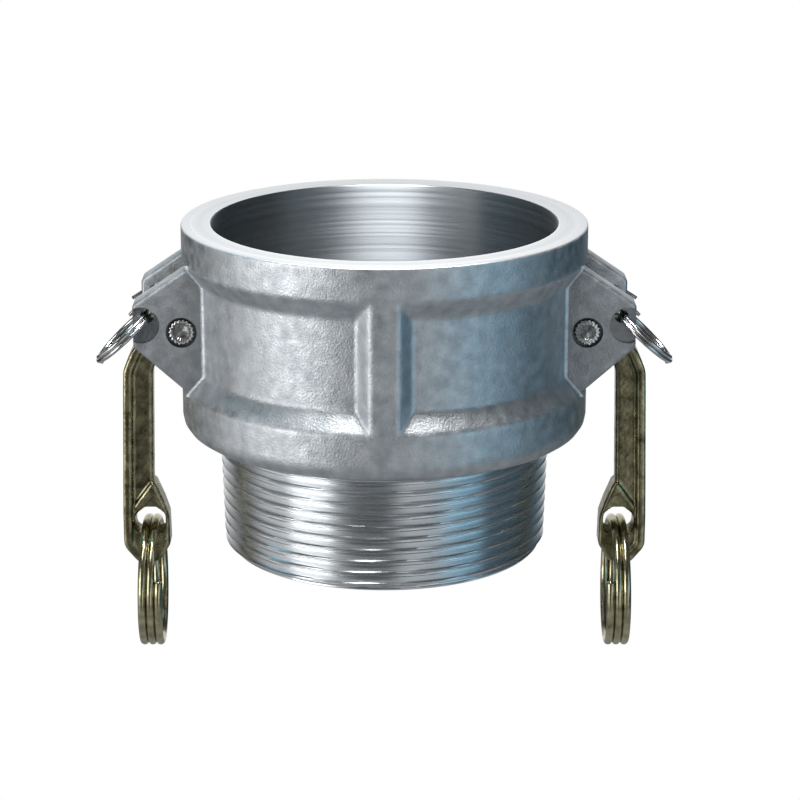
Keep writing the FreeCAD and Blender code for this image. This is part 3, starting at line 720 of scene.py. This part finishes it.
def fused(name, pieces, voxel, passes):
    """Joins closed pieces to one skin: a voxel remesh, then a smoothing of its steps."""
    with bpy.context.temp_override(active_object=pieces[0], selected_editable_objects=pieces):
        bpy.ops.object.join()
    whole = pieces[0]
    whole.name = name
    remesh = whole.modifiers.new("remesh", "REMESH")
    remesh.mode = "VOXEL"
    remesh.voxel_size = voxel * MM
    remesh.use_smooth_shade = True
    calm = whole.modifiers.new("calm", "SMOOTH")
    calm.factor = 0.5
    calm.iterations = passes
    return settle(whole)


def mirror_image(piece, name, finish):
    """The same mesh on the other side of X = 0, with its faces turned outwards again."""
    mesh = piece.data
    points = np.empty(len(mesh.vertices) * 3)
    mesh.vertices.foreach_get("co", points)
    points = points.reshape(-1, 3) / MM * np.array([-1, 1, 1])
    by_size = {}
    for polygon in mesh.polygons:
        by_size.setdefault(len(polygon.vertices), []).append(tuple(polygon.vertices))
    return new_piece(name, points, [np.array(group) for group in by_size.values()], [finish])


BOSS, CAM_OFFSET, CAM_RADIUS = 7.0, 4.94, 7.76
WEB_HALF, HUB_HALF, FOOT_HALF = 3.0, 9.5, 4.0
SHANK_IN, SHANK_OUT, FOOT_IN, FOOT_OUT = 62.6, 70.6, 58.9, 71.6
SHANK_TOP, FOOT_TOP, FOOT_END = 48.5, 15.8, -6.0
NECK_STEP = 2.2
FLANGE = 2.5
FLANGE_HALF_LOW, FLANGE_HALF_SHANK, FLANGE_HALF_HIGH = 5.0, 4.6, 4.2
# The flange's middle line, down the shank, at the neck above it and along the foot
SHANK_LINE = SHANK_OUT - FLANGE / 2
NECK_LINE = SHANK_OUT - NECK_STEP - FLANGE / 2
FOOT_LINE = FOOT_OUT - FLANGE / 2
WEB_END = FOOT_END + 6
WEB_EDGE, FOOT_EDGE, HUB_EDGE = 2.8, 0.9, 0.5
CUT_HALF = 12.0
print("shank", SHANK_OUT - SHANK_IN, "mm deep, foot", round(FOOT_OUT - FOOT_IN, 1), "mm")

# %% [markdown]
# The foot has an eye for the finger ring: an oblong hole, narrower at its top. On both faces a field
# is sunk round it, drawn up to a point like a drop, so only a thin plate is left there.

# %% Eye
EYE = (64.3, 4.7)
EYE_HALF, EYE_DROP, FIELD_HEIGHT = 4.2, 2.4, 9.6
EYE_SHOULDER, EYE_TOP, EYE_TOP_HALF = 2.2, 4.4, 0.4 * EYE_HALF
FIELD_SHOULDER, FIELD_LEAN = 0.7 * EYE_HALF, 0.15 * EYE_HALF
EYE_CORNER, POINT_CORNER, FIELD_CORNER = 2.0, 1.2, 3.0
PLATE_HALF = 1.6


def eye_cutters():
    """The eye's hole and the two drop-shaped fields, as closed cutters."""
    x, z = EYE
    bottom = [(x - EYE_HALF, z - EYE_DROP, EYE_CORNER), (x + EYE_HALF, z - EYE_DROP, EYE_CORNER)]
    hole = rounded_path([
        *bottom, (x + EYE_HALF, z + EYE_SHOULDER, EYE_CORNER),
        (x + EYE_TOP_HALF, z + EYE_TOP, POINT_CORNER), (x - EYE_TOP_HALF, z + EYE_TOP, POINT_CORNER),
        (x - EYE_HALF, z + EYE_SHOULDER, EYE_CORNER),
    ], steps=7)
    field = rounded_path([
        *bottom, (x + EYE_HALF, z + FIELD_SHOULDER, FIELD_CORNER),
        (x - FIELD_LEAN, z + FIELD_HEIGHT, POINT_CORNER),
        (x - EYE_HALF, z + FIELD_SHOULDER, FIELD_CORNER),
    ], steps=7)
    return [slab("hole", hole, -CUT_HALF, CUT_HALF, BRASS),
            slab("front_field", field, -CUT_HALF, -PLATE_HALF, BRASS),
            slab("rear_field", field, PLATE_HALF, CUT_HALF, BRASS)]


print("eye", 2 * EYE_HALF, "mm wide and", EYE_DROP + EYE_TOP, "mm high")

# %% [markdown]
# Each form's outline is a list of corners with their rounding. Near the hub they are set as shares of
# its radius, because the shoulder grows out of it, and lower down from the shank and the foot. The
# right arm is made closed, and the left one is its mirror image.

# %% Arms
def web_outline():
    """The web: from the hub's middle over the shoulder, down the flange and up the inner side."""
    x, z = PIVOT
    return rounded_path([
        (x, z - 0.5 * BOSS, 0), (x, z + 0.5 * BOSS, 0), (x + 0.3 * BOSS, z + 0.9 * BOSS, 1.5),
        (x + BOSS, z + 0.5 * BOSS, 2), (x + 1.5 * BOSS, z - 0.1 * BOSS, 1),
        (x + 1.63 * BOSS, z - 0.6 * BOSS, 2), (SHANK_OUT - NECK_STEP, SHANK_TOP + 5.5, 5),
        (SHANK_LINE, SHANK_TOP, 5), (FOOT_LINE, WEB_END, 1), (EYE[0], WEB_END, 1),
        (SHANK_IN + 0.6, FOOT_TOP, 3), (SHANK_IN, SHANK_TOP, 5), (SHANK_IN - 2.6, SHANK_TOP + 6.2, 4),
    ])


def foot_outline():
    """The foot: up its inner side to the shank, over the eye's corner and down the flange."""
    return rounded_path([
        (FOOT_IN, FOOT_END + 5, 2), (FOOT_IN + 0.2, FOOT_TOP - 8.5, 2),
        (FOOT_IN + 1.6, FOOT_TOP - 4.2, 2), (SHANK_IN + 0.6, FOOT_TOP + 2.2, 1),
        (EYE[0] + EYE_HALF + 1.2, EYE[1] + EYE_HALF, 3), (FOOT_LINE, FOOT_END + 8.0, 1),
        (FOOT_LINE, FOOT_END + 4.2, 1), (FOOT_OUT - 5.4, FOOT_END, 2), (FOOT_IN + 3.0, FOOT_END, 2),
    ])


def flange_bar():
    """The flange: a bar from the shoulder down the shank and round the foot, wider downwards."""
    x, z = PIVOT
    spine = spread(rounded_path([
        (x + 1.35 * BOSS, z - 0.1 * BOSS, 0), (x + 1.45 * BOSS, z - 0.75 * BOSS, 2),
        (NECK_LINE, SHANK_TOP + 5.1, 6), (SHANK_LINE, SHANK_TOP, 6), (FOOT_LINE, FOOT_TOP / 2, 30),
        (FOOT_LINE, FOOT_END + 5.2, 3), (FOOT_OUT - 4.6, FOOT_END + 1.2, 0),
    ], steps=7, closed=False), 1.0)
    halves = np.interp(spine[:, 1], [FOOT_TOP / 2, SHANK_TOP - 10, SHANK_TOP + 8],
                       [FLANGE_HALF_LOW, FLANGE_HALF_SHANK, FLANGE_HALF_HIGH])
    return flowing_bar("flange", spine, FLANGE, halves, BRASS)


def arm_piece(name):
    """The right arm: its forms fused to one skin, with the pin's bore cut sharp afterwards."""
    x, z = PIVOT
    web = slab("web", web_outline(), -WEB_HALF, WEB_HALF, BRASS)
    foot = slab("foot", foot_outline(), -FOOT_HALF, FOOT_HALF, BRASS)
    flange = flange_bar()
    hub = rod("hub", PIVOT, BOSS, -HUB_HALF, HUB_HALF, BRASS)
    cam = rod("cam", (x - CAM_OFFSET, z), CAM_RADIUS, -HUB_HALF, HUB_HALF, BRASS)
    soften(web, WEB_EDGE, angle=60, segments=10)
    soften(foot, FOOT_EDGE, angle=60)
    for part in (web, foot, flange):
        carve(part, eye_cutters())
    soften(hub, HUB_EDGE, angle=60)
    soften(cam, HUB_EDGE, angle=60)
    arm = fused(name, [web, foot, flange, hub, cam], voxel=0.32, passes=3)
    return carve(arm, [rod("bore", PIVOT, PIN_HOLE, -CUT_HALF, CUT_HALF, BRASS)])


arm_right = crease(arm_piece("arm_right_forging"), angle=45)
arm_left = crease(mirror_image(arm_right, "arm_left_forging", BRASS), angle=45)
for piece, word in ((arm_right, "right"), (arm_left, "left")):
    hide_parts("cam_arm_" + word)
    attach(piece, "arm_" + word)
print("arm faces", len(arm_right.data.polygons))

# %% [markdown]
# The rings are split rings: one wire wound round about twice or more, its turns pressed together. A
# wire's centre line is a helix, so each ring is a tube along it. The finger ring is wound so that three
# turns lie side by side at the bottom and two in the eye.

# %% Rings
FINGER_RADIUS, FINGER_WIRE, FINGER_TURNS, FINGER_PITCH = 17.1, 2.25, 2.6, 2.2
LOCK_RADIUS, LOCK_WIRE, LOCK_TURNS, LOCK_PITCH = 9.2, 1.2, 1.9, 1.15
LOCK_TILT = math.radians(43)


def helix(centre, out, across, axis, radius, pitch, start, stop, steps):
    """A helix round a centre: a circle in turns from where out points, moving a pitch per turn."""
    turn = np.linspace(start, stop, steps)
    out, across, axis = (np.asarray(way, dtype=float) for way in (out, across, axis))
    swing = 2 * np.pi * turn[:, None]
    return (np.asarray(centre) + radius * (np.cos(swing) * out + np.sin(swing) * across)
            + pitch * (turn[:, None] - (start + stop) / 2) * axis)


for side, word in SIDES:
    half = FINGER_TURNS / 2
    path = helix((side * EYE[0], 0, EYE[1] - FINGER_RADIUS), (0, 0, -1), (0, 1, 0), (side, 0, 0),
                 FINGER_RADIUS, FINGER_PITCH, -half, half, steps=300)
    ring = tube("finger_ring_wire_" + word, path, FINGER_WIRE / 2, FINGER_WIRE_FINISH, sides=20)
    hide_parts("finger_ring_" + word)
    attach(ring, "finger_ring_" + word)
    out = np.array([side * math.cos(LOCK_TILT), 0, -math.sin(LOCK_TILT)])
    axis = np.array([side * math.sin(LOCK_TILT), 0, math.cos(LOCK_TILT)])
    hole = np.array([side * LOCK_HOLE[0], -(EAR_FACE - EAR_THICKNESS / 2), LOCK_HOLE[1]])
    path = helix(hole + LOCK_RADIUS * out, out, (0, 1, 0), axis,
                 LOCK_RADIUS, LOCK_PITCH, 0, LOCK_TURNS, steps=220)
    ring = tube("lock_ring_wire_" + word, path, LOCK_WIRE / 2, STAINLESS, sides=16)
    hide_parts("lock_ring_" + word)
    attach(ring, "lock_ring_" + word)
print("rings wound")

# %% [markdown]
# The pivot pins have a fluted collar at both ends, which bites into the ear, and a dull staked middle.
# A pin is a turned grid whose radius ripples with the angle near its ends.

# %% Pins
PIN_END = EAR_FACE - 0.25
PIN_COLUMNS = 144
FLUTES, FLUTE_DEPTH = 18, 0.42
CORE, CORE_BUMPS, CORE_DEPTH = 1.9, 3, 0.14
# Radius, and depth below the pin's end: the staked middle, the collar's flat top and its flank
PIN_PROFILE = ((0.0, 1.0), (1.0, 0.95), (1.8, 0.85), (2.1, 0.3), (2.3, 0.0), (2.8, 0.0), (3.3, 0.1),
               (3.6, 0.4), (3.62, 0.7), (3.1, 0.8), (3.12, 2.0))


def pin(name, side):
    """A pin along Y: the profile round its axis, with a cosine's flutes and a sine's uneven middle."""
    half = [(out, PIN_END - depth) for out, depth in PIN_PROFILE]
    profile = np.array(half + [(out, -y) for out, y in reversed(half)])
    turn = np.linspace(0, 2 * np.pi, PIN_COLUMNS, endpoint=False)
    # The flutes begin just above the flank's foot and deepen outwards
    on_collar = np.interp(np.abs(profile[:, 1]), [PIN_END - 0.9, PIN_END - 0.8], [0, 1])
    ripple = on_collar * np.interp(profile[:, 0], [1.8, 2.2, 2.9, 3.6], [0, 0.5, 0.7, 1])
    flutes = 0.5 - 0.5 * np.cos(FLUTES * turn)[None]
    radius = profile[:, :1] - ripple[:, None] * FLUTE_DEPTH * flutes
    bumps = CORE_DEPTH * np.sin(CORE_BUMPS * turn + 1.0)[None] * profile[:, :1]
    uneven = np.where(profile[:, :1] < CORE, bumps, 0)
    along = profile[:, 1:] + uneven * np.sign(profile[:, 1:])
    points = np.stack([side * PIVOT[0] + radius * np.cos(turn), along + 0 * turn,
                       PIVOT[1] + radius * np.sin(turn)], axis=-1)
    middles = (profile[1:, 0] + profile[:-1, 0]) / 2
    which = np.repeat(np.where(middles < CORE, 1, 0), PIN_COLUMNS)
    piece = new_piece(name, points.reshape(-1, 3), grid_quads(len(profile), PIN_COLUMNS),
                      [STEEL, PIN_CORE], which=which)
    return crease(piece, angle=50)


for side, word in SIDES:
    piece = pin("pin_" + word, side)
    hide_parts("pivot_pin_" + word)
    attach(piece, "coupler")
print("pins turned, with", FLUTES, "flutes at each end")

# %% [markdown]
# The gasket and the small cotters already have their right shape in the model, so they only get a
# finish.

# %% Finishes for what stays
for node, finish in (("gasket", RUBBER), ("safety_cotter_right", STAINLESS),
                     ("safety_cotter_left", STAINLESS)):
    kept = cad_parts[node]
    for place in kept.material_slots:
        place.material = finish
    print(node, "keeps its shape")

# %% [markdown]
# The photograph has no floor: the object stands alone on white. So the white is the world itself, as
# the camera sees it. Metal mirrors that white too where it stands, behind the object, and round it a
# studio, because polished metal shows nothing but its surroundings. A wall turned away by an angle
# mirrors what stands at twice that angle, so the bright and dark columns on the thread tell where
# the studio was bright: on the left, again a little right of the camera, and bluish further round.
# Above the horizon only the back wall is bright, because the rim, which faces up, mirrors that. Far
# above is a dim ceiling and far below a pale table. The bands between them are given by how far up a
# direction points, from -1 straight down to 1 straight up.

# %% World
WALLS_MEET = (-0.05, 0.15)
CEILING = (0.35, 0.75)
TABLE = (-0.30, -0.60)
BACKDROP = (0.86, 0.96)  # how far a direction points away from the camera

world = bpy.data.worlds.new("studio")
bpy.context.scene.world = world
world.use_nodes = True
tree = world.node_tree
tree.nodes.clear()
direction = add(tree, "ShaderNodeTexCoord").outputs["Generated"]
rightwards, away, upwards = add(tree, "ShaderNodeSeparateXYZ", {"Vector": direction}).outputs
nearer = add(tree, "ShaderNodeMath", {0: away}, operation="MULTIPLY")
nearer.inputs[1].default_value = -1.0
compass = add(tree, "ShaderNodeCombineXYZ", {"X": nearer.outputs[0], "Y": rightwards})
bearing = add(tree, "ShaderNodeTexGradient", {"Vector": compass.outputs[0]}, gradient_type="RADIAL")


def walls(stops):
    """Colours round the horizon: bearings in degrees from the camera, positive to the right."""
    node = add(tree, "ShaderNodeValToRGB", {"Fac": bearing.outputs["Fac"]})
    elements = node.color_ramp.elements
    for degrees, code in stops[1:-1]:
        elements.new(degrees / 360 + 0.5).color = linear(code)
    # A new ramp already has its two ends, at 0 and 1
    elements[0].color = linear(stops[0][1])
    elements[len(elements) - 1].color = linear(stops[-1][1])
    return node.outputs[0]


low_walls = walls([
    (-180, "#3c3c3c"), (-118, "#2a2a2a"), (-95, "#f0f0f0"), (-42, "#ffffff"), (-24, "#3a3a3a"),
    (4, "#3a3a3a"), (15, "#ffffff"), (38, "#dbe5ea"), (52, "#7fa6b9"), (66, "#2f566a"),
    (140, "#213c49"), (180, "#3c3c3c"),
])
high_walls = walls([
    (-180, "#ffffff"), (-165, "#ffffff"), (-145, "#8a8a8a"), (-60, "#6a6a6a"), (60, "#6a6a6a"),
    (145, "#3f4f58"), (165, "#b3c2cb"), (180, "#ffffff"),
])
# How far a direction is from the first of two limits to the second, as 0 to 1
over_horizon, to_ceiling, to_table, to_backdrop = (
    add(tree, "ShaderNodeMapRange", {"Value": value}, From_Min=first, From_Max=second).outputs[0]
    for value, (first, second) in ((upwards, WALLS_MEET), (upwards, CEILING), (upwards, TABLE),
                                   (away, BACKDROP)))
room_colour = add(tree, "ShaderNodeMix", {
    "Factor": over_horizon, MIX_A: low_walls, MIX_B: high_walls,
}, data_type="RGBA").outputs[MIXED]
for share, code in ((to_ceiling, "#4a4a4a"), (to_table, "#9ea1a4")):
    layer = add(tree, "ShaderNodeMix", {"Factor": share, MIX_A: room_colour}, data_type="RGBA")
    layer.inputs[MIX_B].default_value = linear(code)
    room_colour = layer.outputs[MIXED]
room = add(tree, "ShaderNodeBackground", {"Color": room_colour}, Strength=1.0)
white = add(tree, "ShaderNodeBackground", Color=linear("#ffffff"), Strength=1.0)
seen = add(tree, "ShaderNodeLightPath").outputs
mirrored = add(tree, "ShaderNodeMath", {0: seen["Is Glossy Ray"], 1: to_backdrop},
               operation="MULTIPLY")
through = add(tree, "ShaderNodeMath", {0: mirrored.outputs[0], 1: seen["Is Transmission Ray"]},
              operation="MAXIMUM")
shown = add(tree, "ShaderNodeMath", {0: seen["Is Camera Ray"], 1: through.outputs[0]},
            operation="MAXIMUM")
choice = add(tree, "ShaderNodeMixShader",
             {0: shown.outputs[0], 1: room.outputs[0], 2: white.outputs[0]})
add(tree, "ShaderNodeOutputWorld", {"Surface": choice.outputs[0]})
bpy.context.scene.view_settings.view_transform = "Standard"
print("studio painted")

# %% [markdown]
# Five soft lamps add what the world can't, because its light comes from everywhere at once: a large
# one from the left, a small one from above in front, one over the mouth that lights the bore's back,
# a faint teal one for the bore's right and a bluish one from the right.

# %% Lamps
def lamp(name, place, aim, width, height, power, code):
    """A soft rectangular lamp: place, aim and size in millimetres, power in watts."""
    data = bpy.data.lights.new(name, "AREA")
    data.shape = "RECTANGLE"
    data.size, data.size_y = width * MM, height * MM
    data.energy = power
    data.color = linear(code)[:3]
    light = bpy.data.objects.new(name, data)
    place, aim = np.asarray(place, dtype=float), np.asarray(aim, dtype=float)
    light.location = place * MM
    light.rotation_euler = Vector((aim - place).tolist()).to_track_quat("-Z", "Y").to_euler()
    bpy.context.scene.collection.objects.link(light)
    return light


lamp("left_front", (-500, -380, 80), (0, 0, 50), 320, 360, 1.25, "#ffffff")
lamp("front_top", (-120, -300, 560), (0, 40, 70), 120, 160, 0.6, "#ffffff")
lamp("over_mouth", (-5, -50, 280), (-5, 46, 85), 110, 60, 1.9, "#ffffff")
lamp("teal_mouth", (-170, 50, 250), (36, 28, 85), 120, 120, 0.10, "#5f9fb4")
lamp("right_blue", (480, -330, 60), (0, 0, 55), 320, 300, 0.42, "#96c4dc")
print("lamps set")
